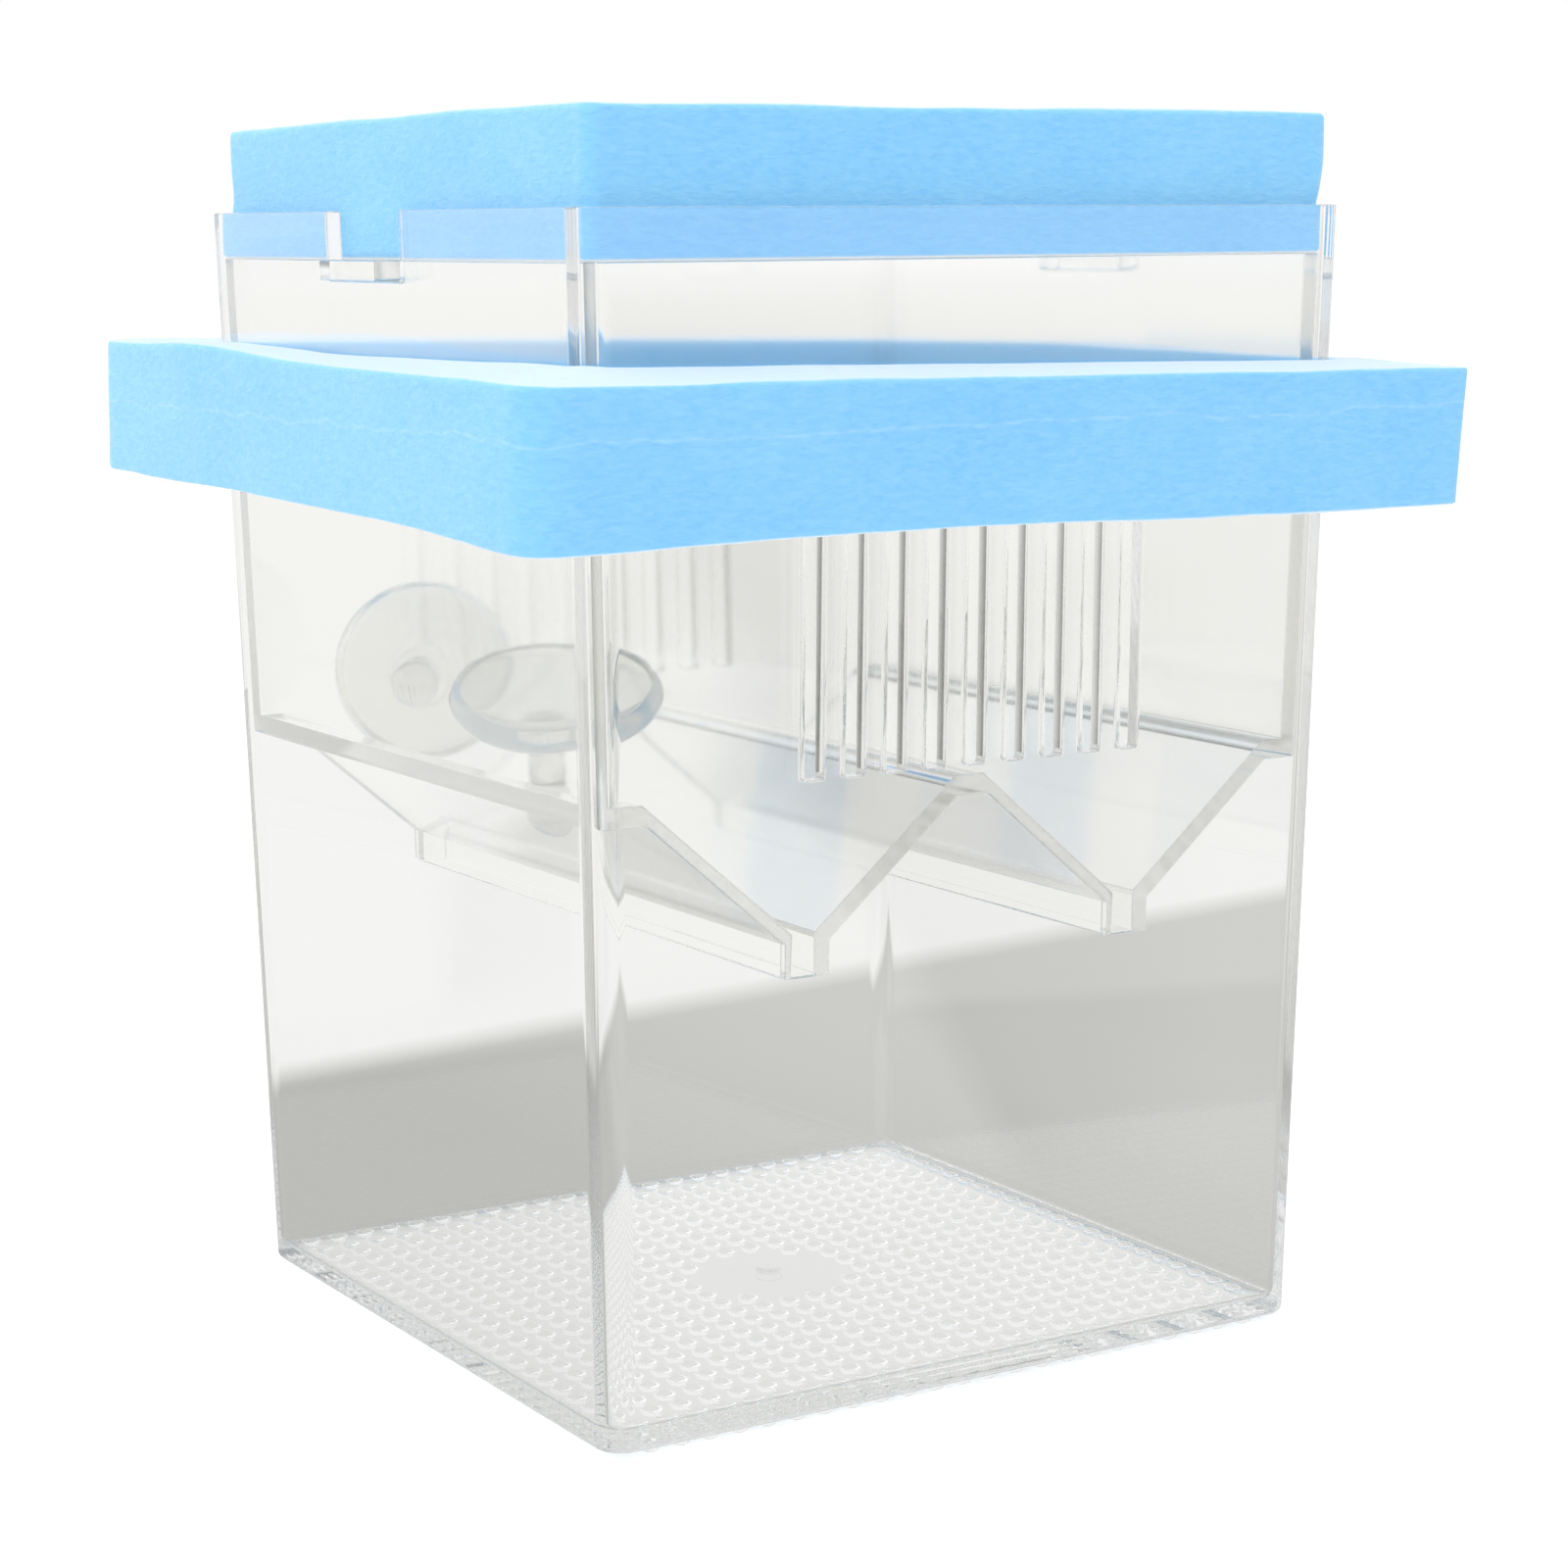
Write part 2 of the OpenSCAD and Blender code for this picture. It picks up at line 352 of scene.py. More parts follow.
# %% The small raised mark of the mould's gate, in the middle of the floor
bpy.ops.mesh.primitive_cylinder_add(
    vertices=24, radius=1.7 * MM, depth=0.8 * MM, location=(0, 0, BUMP_H + FLOOR_T)
)
gate = bpy.context.object
place(gate)
open_edit(gate)
choose(gate, "edges", lambda e: all(v.co.z > BUMP_H + FLOOR_T for v in e.verts))
bpy.ops.mesh.bevel(offset=0.3 * MM, segments=3, affect="EDGES")
close_edit()
combine(outer, gate, "UNION")
smooth(outer)
count(outer)

# %% [markdown]
# ## The inner box
#
# The spawning box hangs in the outer one. Its floor is folded into a W, and each valley
# ends in a narrow channel that is open below, so that fry sink through it. To fold that
# floor, a strip is extruded edge by edge along the profile and then pulled up into a
# solid: everything above the W. Cut with the drafted block, one such solid gives the
# outside of the box and a second one the hollow, and the plates between them are evenly
# thick. No two of these solids end in the same plane, because a Boolean can lose faces
# there, and a clear body that isn't closed bends light in the wrong way. The rim and the
# ears are cut level at the end.


# %% The solid above a folded floor
def above_fold(name, right_half, top):
    line = [(-x, z) for x, z in reversed(right_half)] + list(right_half)
    bpy.ops.mesh.primitive_plane_add(size=1)
    strip = bpy.context.object
    strip.name = name
    (x0, z0), (x1, _) = line[0], line[1]
    strip.scale = (x1 - x0, FAR, 1)
    strip.location = ((x0 + x1) / 2, 0, z0)
    place(strip)
    open_edit(strip)
    for (xa, za), (xb, zb) in zip(line[1:], line[2:]):
        choose(
            strip,
            "edges",
            lambda e: all(abs(v.co.x - xa) + abs(v.co.z - za) < 1e-6 for v in e.verts),
        )
        bpy.ops.mesh.extrude_region_move(
            TRANSFORM_OT_translate={"value": (xb - xa, 0, zb - za)}
        )
    bpy.ops.mesh.select_all(action="SELECT")
    bpy.ops.mesh.extrude_region_move(TRANSFORM_OT_translate={"value": (0, 0, top)})
    bpy.ops.transform.resize(value=(1, 1, 0), center_override=(0, 0, top))
    bpy.ops.mesh.select_all(action="SELECT")
    bpy.ops.mesh.remove_doubles(threshold=1e-6)
    bpy.ops.mesh.normals_make_consistent(inside=False)
    close_edit()
    return strip


# %% The box and its ears
LOW_END, HIGH_END = CHANNEL_Z - MM, INNER_RIM + MM
inner = drafted_block("inner_box_shell", LOW_END, HIGH_END, INNER_OUT, INNER_OUT_R)
combine(inner, above_fold("w_under", W_UNDER, 0.15), "INTERSECT")
for side in EAR_PLACES:
    reach = half_width(INNER_RIM) + EAR_OUT
    ear = ear_bar(side, reach, EAR_W, SILL + SEAT, HIGH_END + MM, 0.4 * MM)
    combine(inner, ear, "UNION")
hollow = drafted_block("inner_hollow", LOW_END - MM, HIGH_END + 2 * MM, INNER_IN, INNER_IN_R)
combine(hollow, above_fold("w_top", W_TOP, 0.16), "INTERSECT")
combine(inner, hollow, "DIFFERENCE")
above_rim = add_cube("above_rim", (2 * FAR, 2 * FAR, FAR), (0, 0, INNER_RIM + FAR / 2))
combine(inner, above_rim, "DIFFERENCE")
count(inner)
soften(inner, 0.22 * MM)
smooth(inner)
count(inner)

# %% [markdown]
# ## The foam float and the foam lid
#
# Both are cut from one sheet of closed-cell foam about 16 mm thick, glued up from two
# layers. Cut foam is never quite straight: its faces wave by a few tenths of a
# millimetre, its edges are soft, and the frame is rolled a little where it hugs the box.
# The block is sliced into a net of edges with bisect, and then every vertex is moved by a
# smooth noise along its own normal. The seed of the noise is its place, so the result is
# the same in every run. The glue line between the layers is drawn by the material.


# %% Slicing and waving
def slice_across(piece, axis, places):
    way = Vector([float(i == axis) for i in range(3)])
    open_edit(piece)
    for at in places:
        bpy.ops.mesh.select_all(action="SELECT")
        bpy.ops.mesh.bisect(plane_co=way * at, plane_no=way)
    close_edit()


def steps_between(low, high, step):
    n = max(1, round((high - low) / step))
    return [low + (high - low) * i / n for i in range(1, n)]


def wave_at(point, scale, seed):
    return noise.noise(point / scale + Vector((seed, 0, -seed)))


LONG_WAVE, SHORT_WAVE, SWING = 22 * MM, 7 * MM, 0.3 * MM
SLICE = 2.5 * MM


def hump(distance, reach):
    """1 at distance 0, and falling softly to 0 beyond the reach."""
    return math.exp(-((distance / reach) ** 2))


def wave_foam(piece, swing, is_free, seed, by_hand):
    """Moves each free vertex along its normal, and by what by_hand adds at its place."""
    for vert in piece.data.vertices:
        point = vert.co.copy()
        share = is_free(point)
        long_wave = wave_at(point, LONG_WAVE, seed)
        short_wave = wave_at(point, SHORT_WAVE, seed)
        move = swing * long_wave + 0.4 * swing * short_wave
        vert.co += (vert.normal * move + by_hand(point)) * share


# %% The float frame
RING_W, RING_D, FOAM_T = 123.5 * MM, 117 * MM, 16 * MM
RING_DROP, RING_GAP = 17 * MM, 0.25 * MM
RING_MID = BOX_H - RING_DROP - FOAM_T / 2
RING_LOW, RING_TOP = RING_MID - FOAM_T / 2, RING_MID + FOAM_T / 2
RING_TILT = Euler((math.radians(0.9), math.radians(0.6), 0))

ring = add_cube("float_ring_foam", (RING_W, RING_D, FOAM_T), (0, 0, RING_MID))
open_edit(ring)
for side, radius in ((-1, 5 * MM), (1, 2 * MM)):
    choose(ring, "edges", lambda e: is_upright(e) and e.verts[0].co.x * side > 0)
    bpy.ops.mesh.bevel(offset=radius, segments=6, affect="EDGES")
close_edit()
opening = drafted_block(
    "ring_opening", RING_LOW - FOAM_T, RING_TOP + FOAM_T, -RING_GAP, CORNER_R + RING_GAP
)
combine(ring, opening, "DIFFERENCE")
open_edit(ring)
choose(ring, "edges", lambda e: e.calc_face_angle(0) > 1 and not is_upright(e))
bpy.ops.mesh.bevel(offset=0.6 * MM, segments=3, affect="EDGES")
close_edit()
slice_across(ring, 0, steps_between(-RING_W / 2, RING_W / 2, SLICE))
slice_across(ring, 1, steps_between(-RING_D / 2, RING_D / 2, SLICE))
slice_across(ring, 2, steps_between(RING_LOW, RING_TOP, 1.6 * MM))
count(ring)


# %% Waves and tilt of the frame
def ring_is_free(point):
    """1 on the outside, and 0 on the walls of the opening, which hug the box."""
    out_x = abs(point.x) - half_width(point.z)
    out_y = abs(point.y) - half_depth(point.z)
    return min(1.0, max(out_x, out_y, 0) / (3 * MM))


def ring_by_hand(point):
    """The swollen front left corner, the hump behind it and the slanting right end."""
    to_corner = math.hypot(point.x + RING_W / 2, point.y + RING_D / 2)
    low_share = (RING_TOP - point.z) / FOAM_T
    down = 1.1 * MM * hump(to_corner, 20 * MM) * low_share
    up = 0.7 * MM * hump(math.hypot(point.x + RING_W / 2, point.y - 24 * MM), 15 * MM)
    at_right_end = max(0.0, min(1.0, (point.x - 52 * MM) / (6 * MM)))
    inward = 1.1 * MM * low_share * at_right_end
    inward += 0.4 * MM * at_right_end
    return Vector((-inward, 0, up * (1 - low_share) - down))


def share_of(value, start, end):
    """0 at start and before it, 1 at end and beyond it."""
    return min(1.0, max(0.0, (value - start) / (end - start)))


def ring_roll(point):
    """The front bar is rolled up against the box, and the back bar hangs at its right end."""
    out = max(abs(point.x) - half_width(point.z), abs(point.y) - half_depth(point.z))
    near_box = share_of(out, 9 * MM, 0)
    high = share_of(point.z, RING_LOW, RING_TOP)
    to_left = share_of(point.x, 60 * MM, -50 * MM)
    rise = (0.5 + 0.8 * to_left) * MM * near_box * share_of(point.y, 10 * MM, -40 * MM)
    fall = 1.2 * MM * (1 - to_left) * share_of(point.y, 10 * MM, 45 * MM)
    return Vector((0, 0, (rise - fall) * high))


wave_foam(ring, SWING, ring_is_free, 1.0, ring_by_hand)
for vert in ring.data.vertices:
    vert.co += ring_roll(vert.co.copy())
lift = Matrix.Translation((0, 0, RING_MID))
ring.matrix_world = lift @ RING_TILT.to_matrix().to_4x4() @ lift.inverted()
place(ring)
smooth(ring, 60)
count(ring)

# %% The lid
LID_GAP, LID_R = 0.06 * MM, 1.7 * MM
LID_LOW, LID_HIGH = INNER_RIM + SEAT, INNER_RIM + FOAM_T
LID_W = 2 * (half_width(INNER_RIM, WALL) - LID_GAP)
LID_D = 2 * (half_depth(INNER_RIM, WALL) - LID_GAP)

lid_size = (LID_W, LID_D, LID_HIGH - LID_LOW)
lid = add_cube("foam_lid_block", lid_size, (0, 0, (LID_LOW + LID_HIGH) / 2))
open_edit(lid)
choose(lid, "edges", is_upright)
bpy.ops.mesh.bevel(offset=LID_R, segments=6, affect="EDGES")
choose(lid, "edges", lambda e: e.calc_face_angle(0) > 1 and not is_upright(e))
bpy.ops.mesh.bevel(offset=0.7 * MM, segments=3, affect="EDGES")
close_edit()
slice_across(lid, 0, steps_between(-LID_W / 2, LID_W / 2, SLICE))
slice_across(lid, 1, steps_between(-LID_D / 2, LID_D / 2, SLICE))
slice_across(lid, 2, steps_between(LID_LOW, LID_HIGH, 1.4 * MM))


def lid_is_free(point):
    """The foam below the rim keeps clear of the walls, and rests on the inner box."""
    return min(1.0, max(0.0, (point.z - BOX_H) / (2 * MM)))


def lid_by_hand(point):
    """The swelling above the rim on the right, the pinch on the left and a drooping corner."""
    out = Vector((point.x / LID_W, point.y / LID_D, 0)) * 2
    side = max(abs(out.x), abs(out.y))
    pinch = -0.15 * MM * hump(point.z - BOX_H - 2.5 * MM, 2.5 * MM) * max(0.0, side - 0.9) * 10
    if out.x > 0.9:
        rise = min(1.0, max(0.0, (point.z - BOX_H) / (5 * MM)))
        swell = (0.35 + 0.75 * rise) * MM * (out.x - 0.9) * 10
        pinch = swell / out.x
    far_corner = math.hypot(point.x + LID_W / 2, point.y - LID_D / 2)
    droop = -0.6 * MM * hump(far_corner, 30 * MM)
    return Vector((out.x * pinch, out.y * min(pinch, 0.0), droop))


wave_foam(lid, SWING, lid_is_free, 5.0, lid_by_hand)
smooth(lid, 60)
count(lid)

# %% [markdown]
# ## The suction cups
#
# A suction cup is a body of revolution, so its half profile is drawn as a chain of
# vertices and spun round the axis. Cup a leans on the left slope with its knob to the
# camera. Cup b lies hollow side up in front of it.

# %% Profile of a cup
CUP_R, LIP_Z, LIP_R, DISH = 10.8 * MM, 1.5 * MM, 9.6 * MM, 3.8 * MM
BOSS_R, BOSS_Z, NECK_R, NECK_Z = 6.6 * MM, 5.6 * MM, 2.1 * MM, 8.0 * MM
KNOB_R, KNOB_Z, SOFT_GAP = 2.8 * MM, 15.6 * MM, 0.3 * MM


def cup_profile():
    hollow = [
        (LIP_R * math.sin(a), DISH * math.cos(a))
        for a in [math.radians(90) * i / 10 for i in range(11)]
    ]
    rim = [(LIP_R + 0.5 * MM, 0.1 * MM), (CUP_R - 0.3 * MM, 0.7 * MM)]
    turn = math.acos(BOSS_R / CUP_R)
    bowl = [
        (CUP_R * math.cos(a), LIP_Z + (BOSS_Z - LIP_Z) * math.sin(a) / math.sin(turn))
        for a in [turn * i / 8 for i in range(9)]
    ]
    neck = [
        (BOSS_R - 0.9 * MM, BOSS_Z + 0.35 * MM),
        (NECK_R + 1.6 * MM, BOSS_Z + 0.7 * MM),
        (NECK_R + 0.6 * MM, BOSS_Z + 1.3 * MM),
        (NECK_R, NECK_Z),
    ]
    start = math.asin(NECK_R / KNOB_R)
    knob = [
        (KNOB_R * math.sin(a), KNOB_Z - KNOB_R * math.cos(a))
        for a in [start + (math.pi - start) * i / 12 for i in range(13)]
    ]
    return hollow + rim + bowl + neck + knob


# %% Spinning the profile
def spin_cup(name):
    bpy.ops.mesh.primitive_plane_add(size=MM)
    cup = bpy.context.object
    cup.name = name
    points = cup_profile()
    open_edit(cup)
    choose(cup, "verts", lambda v: v.co.x + v.co.y < MM / 2)
    bpy.ops.mesh.delete(type="VERT")
    bpy.ops.mesh.select_all(action="SELECT")
    last = Vector((MM / 2, MM / 2, 0))
    for r, z in points:
        here = Vector((r, 0, z))
        bpy.ops.mesh.extrude_region_move(TRANSFORM_OT_translate={"value": here - last})
        last = here
    choose(cup, "verts", lambda v: v.co.y > MM / 4)
    bpy.ops.mesh.delete(type="VERT")
    bpy.ops.mesh.select_all(action="SELECT")
    bpy.ops.mesh.spin(
        steps=48, angle=2 * math.pi, center=(0, 0, 0), axis=(0, 0, 1), use_auto_merge=True
    )
    bpy.ops.mesh.select_all(action="SELECT")
    bpy.ops.mesh.remove_doubles(threshold=0.002 * MM)
    bpy.ops.mesh.normals_make_consistent(inside=False)
    close_edit()
    return cup


def heading(lean, turn):
    lean, turn = math.radians(lean), math.radians(turn)
    return Vector(
        (math.sin(lean) * math.cos(turn), math.sin(lean) * math.sin(turn), math.cos(lean))
    )


# %% Where the cups lie
def slope_height(x):
    """Top of the left outer slope at the distance x from the middle."""
    return MOUTH_Z + (x - MOUTH_OUT) * OUTER_SLOPE


SLOPE_ANGLE = math.atan(OUTER_SLOPE)
CUP_A, CUP_B = (88.8, -120.5), (160, 58.5)

way = heading(*CUP_A)
into_slope = way.x * math.sin(SLOPE_ANGLE) + way.z * math.cos(SLOPE_ANGLE)
reach = CUP_R * math.sqrt(1 - into_slope**2) + LIP_Z * abs(into_slope) + SOFT_GAP
x_a = half_width(SHOULDER_Z, INNER_IN) - KNOB_R - SOFT_GAP + KNOB_Z * way.x
at_a = Vector((-x_a, 18 * MM, slope_height(x_a) + reach / math.cos(SLOPE_ANGLE)))

way = heading(*CUP_B)
reach = CUP_R * math.sqrt(1 - way.x**2) + LIP_Z * abs(way.x) + SOFT_GAP
x_b = half_width(SHOULDER_Z, INNER_IN) - reach
knob_x = x_b - KNOB_Z * way.x
knob_up = slope_height(knob_x) + (KNOB_R + SOFT_GAP) / math.cos(SLOPE_ANGLE)
at_b = Vector((-x_b, -12 * MM, knob_up - KNOB_Z * way.z))

cups = {}
for letter, (lean, turn), at in (("a", CUP_A, at_a), ("b", CUP_B, at_b)):
    cup = spin_cup("suction_cup_" + letter + "_vinyl")
    cup.rotation_euler = (0, math.radians(lean), math.radians(turn))
    cup.location = at
    place(cup)
    only(cup)
    bpy.ops.object.shade_smooth_by_angle(angle=math.radians(50))
    cups[letter] = cup
    count(cup)

# %% [markdown]
# ## Materials
#
# Colours are written as sRGB hex values, as a paint chart gives them, and one function
# turns them to linear numbers. One more adds a node with its settings and links.


# %% Colour and node helpers
def linear(code):
    channels = [int(code[i : i + 2], 16) / 255 for i in (1, 3, 5)]
    return [c / 12.92 if c <= 0.04045 else ((c + 0.055) / 1.055) ** 2.4 for c in channels] + [1]


def add_node(tree, kind, values=(), **links):
    """Adds a node. values sets properties and sockets, links joins inputs (_0 is the first)."""
    node = tree.nodes.new(kind)
    for key, value in dict(values).items():
        if isinstance(key, int) or key in node.inputs:
            node.inputs[key].default_value = value
        else:
            setattr(node, key, value)
    for key, source in links.items():
        socket = int(key[1:]) if key.startswith("_") else key.replace("_", " ")
        tree.links.new(source, node.inputs[socket])
    return node


def start_material(name, **sockets):
    material = bpy.data.materials.new(name)
    material.use_nodes = True
    tree = material.node_tree
    shader = tree.nodes["Principled BSDF"]
    for key, value in sockets.items():
        shader.inputs[key.replace("_", " ")].default_value = value
    return material, tree, shader


# %% [markdown]
# ### Clear polystyrene
#
# Both boxes are crystal polystyrene, injection moulded in a polished mould: water clear,
# glossy, with an IOR of about 1.57. The eye finds it by what its edges bend and mirror,
# by a slight grey cast, and by a very faint waviness where the melt cooled. The waviness
# is a noise of about 14 mm, far wider than it is high. A little light is also lost on the
# way through the plastic. That doesn't show through a wall, but it does where light runs
# along inside a plate, and it is what makes the cut edges of clear plastic look grey.

# %% Clear polystyrene, moulded
clear, tree, shader = start_material(
    "clear_polystyrene_moulded",
    Base_Color=linear("#FFFFFF"),
    Roughness=0.0,
    IOR=1.57,
    Transmission_Weight=1.0,
)
coords = add_node(tree, "ShaderNodeTexCoord")
melt = add_node(
    tree,
    "ShaderNodeTexNoise",
    {"Scale": 1 / (14 * MM), "Detail": 2.0},
    Vector=coords.outputs["Object"],
)
bump = add_node(
    tree,
    "ShaderNodeBump",
    {"Strength": 0.02, "Distance": 0.03 * MM},
    Height=melt.outputs["Fac"],
)
tree.links.new(bump.outputs["Normal"], shader.inputs["Normal"])
loss = add_node(
    tree, "ShaderNodeVolumeAbsorption", {"Color": linear("#A0A098"), "Density": 1.7}
)
tree.links.new(loss.outputs["Volume"], tree.nodes["Material Output"].inputs["Volume"])
outer.data.materials.append(clear)

# The insert comes from another batch: a little less polished, and it takes more light.
insert = clear.copy()
insert.name = "clear_polystyrene_insert"
insert_nodes = insert.node_tree.nodes
insert_nodes["Principled BSDF"].inputs["Base Color"].default_value = linear("#FFFFFE")
insert_nodes["Principled BSDF"].inputs["Roughness"].default_value = 0.05
insert_nodes["Volume Absorption"].inputs["Color"].default_value = linear("#A09E88")
insert_nodes["Volume Absorption"].inputs["Density"].default_value = 3.4
inner.data.materials.append(insert)

# %% [markdown]
# ### Clear soft vinyl
#
# The cups are soft PVC, a little milky and less polished than the boxes, and thick parts
# such as the knob look greyer than the lip. The IOR of the material is lower than that of
# real PVC, because a thin soft lip bends light less than a hard one of the same drawing.

# %% Clear soft vinyl, moulded
vinyl, tree, shader = start_material(
    "clear_soft_vinyl",
    Base_Color=linear("#F0F0EC"),
    Roughness=0.08,
    IOR=1.28,
    Transmission_Weight=0.88,
)
loss = add_node(
    tree, "ShaderNodeVolumeAbsorption", {"Color": linear("#A0A09A"), "Density": 26.0}
)
tree.links.new(loss.outputs["Volume"], tree.nodes["Material Output"].inputs["Volume"])
for cup in cups.values():
    cup.data.materials.append(vinyl)

# %% [markdown]
# ### Closed-cell foam
#
# The float and the lid are cross-linked polyethylene foam: matt and light sky blue. Light
# soaks a millimetre or so into it, so it gets some subsurface scattering, and at a flat
# angle its open cells catch light as a pale sheen. The knife left small level wrinkles on
# the cut sides, longer than they are high, and the colour also makes their crests lighter
# and their troughs darker as painted shade. Along the frame a thin pale line wanders, where
# two layers of the sheet were joined. Faces that look up are painted paler, as painted
# light from above, and faces that look down nearly white, as a painted highlight: the
# material picks them by which way the face looks.

# %% Blue closed-cell foam, cut
foam, tree, shader = start_material(
    "blue_closed_cell_foam",
    Roughness=0.85,
    Specular_IOR_Level=0.3,
    Sheen_Weight=0.5,
    Sheen_Roughness=0.4,
    Subsurface_Weight=0.25,
    Subsurface_Radius=(0.7, 0.9, 1.0),
    Subsurface_Scale=1.5 * MM,
)
coords = add_node(tree, "ShaderNodeTexCoord")
flat = add_node(
    tree,
    "ShaderNodeMapping",
    {"Scale": (1 / (1.7 * MM), 1 / (1.7 * MM), 1 / (0.5 * MM))},
    Vector=coords.outputs["Object"],
)
wrinkles = add_node(
    tree,
    "ShaderNodeTexNoise",
    {"Scale": 1.0, "Detail": 3.0, "Distortion": 0.6},
    Vector=flat.outputs["Vector"],
)
patches = add_node(
    tree,
    "ShaderNodeTexNoise",
    {"Scale": 1 / (15 * MM), "Detail": 1.0},
    Vector=coords.outputs["Object"],
)
# The wide patches are a random tone. The wrinkle noise also lightens crests and darkens troughs
# in the colour, a painted shade of the relief.
tone_and_painted_relief = add_node(
    tree,
    "ShaderNodeMath",
    {"operation": "MULTIPLY_ADD", 1: 0.4},
    _0=patches.outputs["Fac"],
    _2=wrinkles.outputs["Fac"],
)
tint = add_node(tree, "ShaderNodeValToRGB", Fac=tone_and_painted_relief.outputs["Value"])
tint.color_ramp.elements[0].position = 0.45
tint.color_ramp.elements[0].color = linear("#82C8FB")
tint.color_ramp.elements[1].position = 0.95
tint.color_ramp.elements[1].color = linear("#94D3FE")

# %% The glue line of the foam, a thin band around a height that wanders
wander = add_node(
    tree,
    "ShaderNodeTexNoise",
    {"Scale": 1 / (9 * MM), "Detail": 3.0},
    Vector=coords.outputs["Object"],
)
split = add_node(tree, "ShaderNodeSeparateXYZ", Vector=coords.outputs["Object"])
line_z = add_node(
    tree,
    "ShaderNodeMath",
    {"operation": "MULTIPLY_ADD", 1: 3 * MM, 2: RING_MID + 0.6 * MM},
    _0=wander.outputs["Fac"],
)
off_line = add_node(
    tree,
    "ShaderNodeMath",
    {"operation": "SUBTRACT"},
    _0=split.outputs["Z"],
    _1=line_z.outputs["Value"],
)
near_line = add_node(
    tree,
    "ShaderNodeMath",
    {"operation": "ABSOLUTE"},
    _0=off_line.outputs["Value"],
)
band = add_node(
    tree,
    "ShaderNodeMapRange",
    {"From Min": 0.0, "From Max": 0.3 * MM, "To Min": 0.45, "To Max": 0.0},
    Value=near_line.outputs["Value"],
)
broken = add_node(
    tree,
    "ShaderNodeMath",
    {"operation": "MULTIPLY"},
    _0=band.outputs["Result"],
    _1=wrinkles.outputs["Fac"],
)
coloured = add_node(
    tree,
    "ShaderNodeMix",
    {"data_type": "RGBA", 7: linear("#C4E6FF")},
    _0=broken.outputs["Value"],
    _6=tint.outputs["Color"],
)

# %% Painted light on the foam: paler on faces that look up, a nearly white painted highlight on faces that look down
facing = add_node(tree, "ShaderNodeSeparateXYZ", Vector=coords.outputs["Normal"])
# Painted light: faces that look up are mixed towards the pale #C7E1FC, standing in for light
# from above and sheen.
painted_top_light = add_node(
    tree,
    "ShaderNodeMapRange",
    {"From Min": 0.7, "From Max": 0.95, "To Min": 0.0, "To Max": 1.0},
    Value=facing.outputs["Z"],
)
# Painted highlight: faces that look down are mixed towards a nearly white #EAF4FC.
painted_under_highlight = add_node(
    tree,
    "ShaderNodeMapRange",
    {"From Min": -0.95, "From Max": -0.6, "To Min": 1.0, "To Max": 0.0},
    Value=facing.outputs["Z"],
)
with_top_light = add_node(
    tree,
    "ShaderNodeMix",
    {"data_type": "RGBA", 7: linear("#C7E1FC")},
    _0=painted_top_light.outputs["Result"],
    _6=coloured.outputs[2],
)
with_painted_light = add_node(
    tree,
    "ShaderNodeMix",
    {"data_type": "RGBA", 7: linear("#EAF4FC")},
    _0=painted_under_highlight.outputs["Result"],
    _6=with_top_light.outputs[2],
)
tree.links.new(with_painted_light.outputs[2], shader.inputs["Base Color"])

# %% The grain and the knife wrinkles of the foam
cells = add_node(
    tree,
    "ShaderNodeTexNoise",
    {"Scale": 1 / (0.8 * MM), "Detail": 2.0},
    Vector=coords.outputs["Object"],
)
grain = add_node(
    tree, "ShaderNodeBump", {"Strength": 0.4, "Distance": 0.1 * MM}, Height=cells.outputs["Fac"]
)
lines = add_node(
    tree,
    "ShaderNodeBump",
    {"Strength": 1.0, "Distance": 0.15 * MM},
    Height=wrinkles.outputs["Fac"],
    Normal=grain.outputs["Normal"],
)
tree.links.new(lines.outputs["Normal"], shader.inputs["Normal"])
for block in (ring, lid):
    block.data.materials.append(foam)

# %% [markdown]
# ## Riding on the frame
#
# Each new piece takes the place of one CAD node and moves with that node's body.

# %% Bodies of the new pieces
for piece, node, slot in (
    (outer, "outer_box", "clear_shell"),
    (inner, "inner_box", "clear_insert"),
    (ring, "float_ring", "blue_foam"),
    (lid, "foam_lid", "blue_foam"),
    (cups["a"], "suction_cup_a", "clear_vinyl"),
    (cups["b"], "suction_cup_b", "clear_vinyl"),
):
    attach(piece, node)
    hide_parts(node)

# %% [markdown]
# ## Floor, light and camera
#
# The box stands in a bright, plain room. The camera sees the floor and the background
# white, with the shadow of the box. Clear plastic needs something to bend and mirror, so
# the floor has shades that only show through it or in it: pale grey up to a soft edge some
# way behind the box, and one darker strip at the front right, which the walls of the water
# slots mirror as the thin grey lines that they show in the photograph. Rays that only
# light the matt foam see the plain floor instead.
#
# Light that has entered a plate can run along inside it for a hundred reflections or more
# before it leaves at an edge. With few bounces those edges turn black, so the limit is
# high, and no filter blurs glossy rays, which would darken what is seen through plastic.
# The camera is the one fitted to the edges of the photograph.

# %% Floor
bpy.ops.mesh.primitive_plane_add(size=12, location=(0, 0, -0.1 * MM))
floor = bpy.context.object
floor.name = "studio_floor"
paper = bpy.data.materials.new("matt_paper_floor")
paper.use_nodes = True
tree = paper.node_tree
tree.nodes.clear()
ray = add_node(tree, "ShaderNodeLightPath")
coords = add_node(tree, "ShaderNodeTexCoord")
across = add_node(
    tree,
    "ShaderNodeVectorMath",
    {"operation": "DOT_PRODUCT", 1: (-0.126, 0.992, 0)},
    _0=coords.outputs["Object"],
)
edge = add_node(
    tree,
    "ShaderNodeMapRange",
    {"From Min": 0.131, "From Max": 0.145, "To Min": 0.0, "To Max": 1.0},
    Value=across.outputs["Value"],
)

